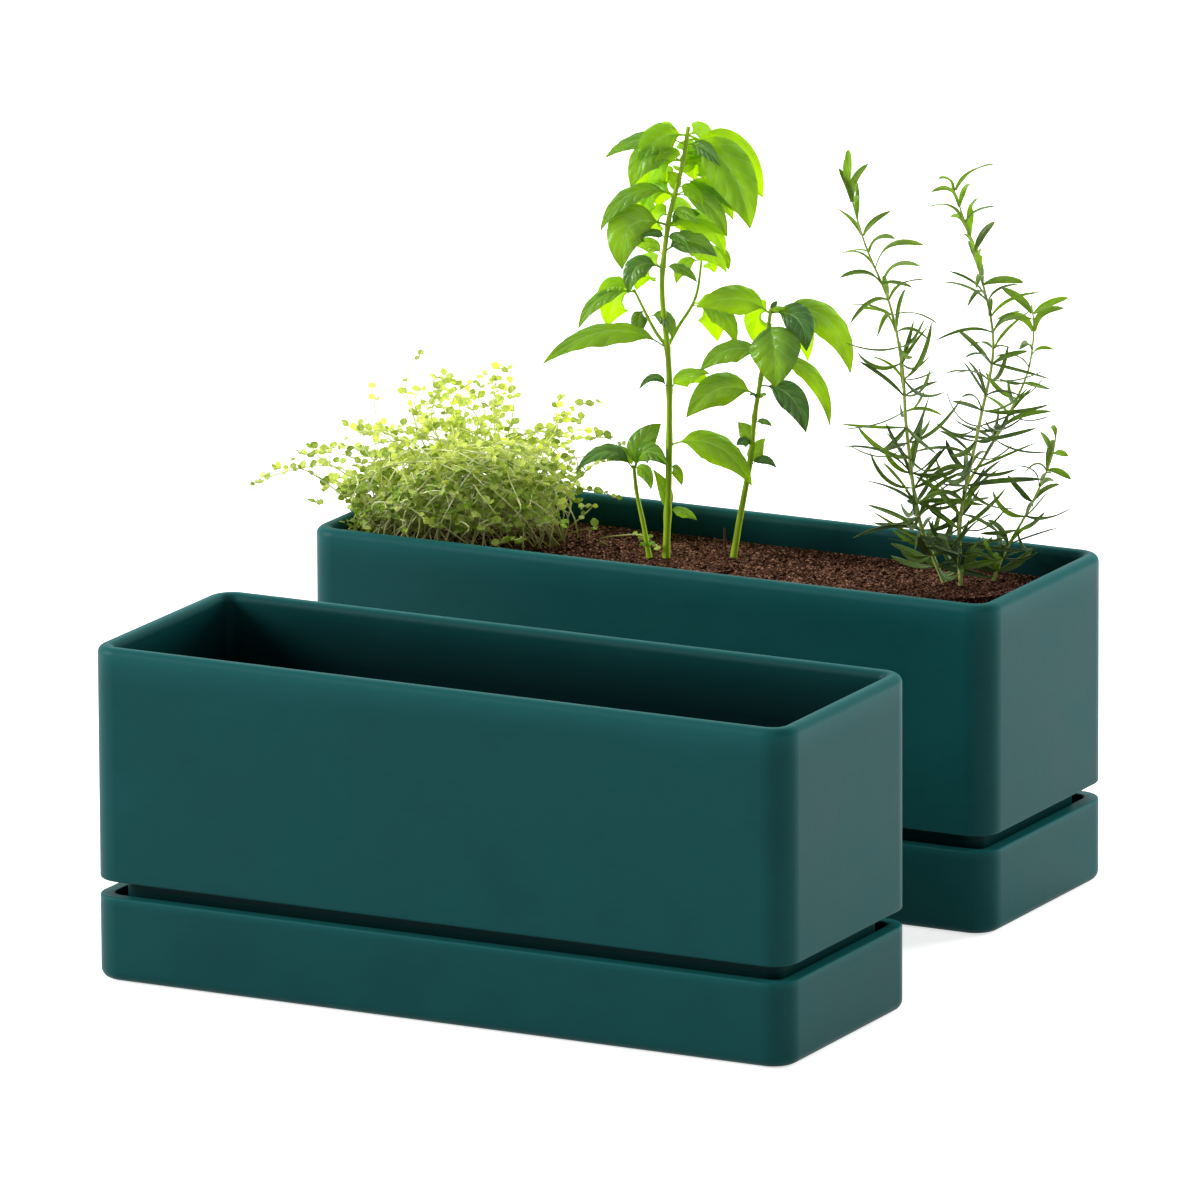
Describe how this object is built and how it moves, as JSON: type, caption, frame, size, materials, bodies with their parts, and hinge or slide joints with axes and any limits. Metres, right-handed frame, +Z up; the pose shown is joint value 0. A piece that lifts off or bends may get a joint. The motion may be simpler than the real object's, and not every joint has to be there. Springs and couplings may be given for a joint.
{
  "type": "herb planter set",
  "caption": "Two long rectangular window-sill pots with round corners, each standing on a recessed foot in its own saucer; the rear one holds soil and planted herbs.",
  "frame": {"origin": "middle of the flat underside of the front saucer, on the surface that the set stands on", "axes": "+X along the pots, to the right as seen from the front; +Y to the back, towards the planted pot; +Z up"},
  "size_m": [0.3706, 0.3284, 0.3045],
  "materials": {
    "glaze": "satin teal-green glaze",
    "soil": "granular brown potting soil",
    "roots": "soil held by fine roots",
    "thyme_stem": "wiry pale stems",
    "thyme_leaf": "small matt leaves",
    "basil_stem": "smooth green stem",
    "basil_leaf": "satin leaves",
    "tarragon_stem": "thin green stem",
    "tarragon_leaf": "narrow grey-green leaves",
    "dry_twig": "dry bark"
  },
  "bodies": {
    "saucers": {"front_saucer": "glaze", "rear_saucer": "glaze"},
    "front_pot": {"front_pot": "glaze"},
    "rear_pot": {"rear_pot": "glaze", "potting_soil": "soil", "thyme_root_ball": "roots", "basil_root_ball": "roots", "tarragon_root_ball": "roots", "thyme_stems": "thyme_stem", "thyme_leaves": "thyme_leaf", "basil_main_stem": "basil_stem", "basil_main_leaves": "basil_leaf", "basil_side_stem": "basil_stem", "basil_side_leaves": "basil_leaf", "basil_shoot_stem": "basil_stem", "basil_shoot_leaves": "basil_leaf", "dry_twigs": "dry_twig", "tarragon_left_stem": "tarragon_stem", "tarragon_left_leaves": "tarragon_leaf", "tarragon_right_stem": "tarragon_stem", "tarragon_right_leaves": "tarragon_leaf", "tarragon_thin_stem": "tarragon_stem", "tarragon_thin_leaves": "tarragon_leaf"}
  },
  "joints": [
    {"name": "front_pot_lift", "type": "slide", "parent": "saucers", "child": "front_pot", "axis": [0, 0, 1], "range_m": [0, 0.12]},
    {"name": "rear_pot_lift", "type": "slide", "parent": "saucers", "child": "rear_pot", "axis": [0, 0, 1], "range_m": [0, 0.12]}
  ]
}
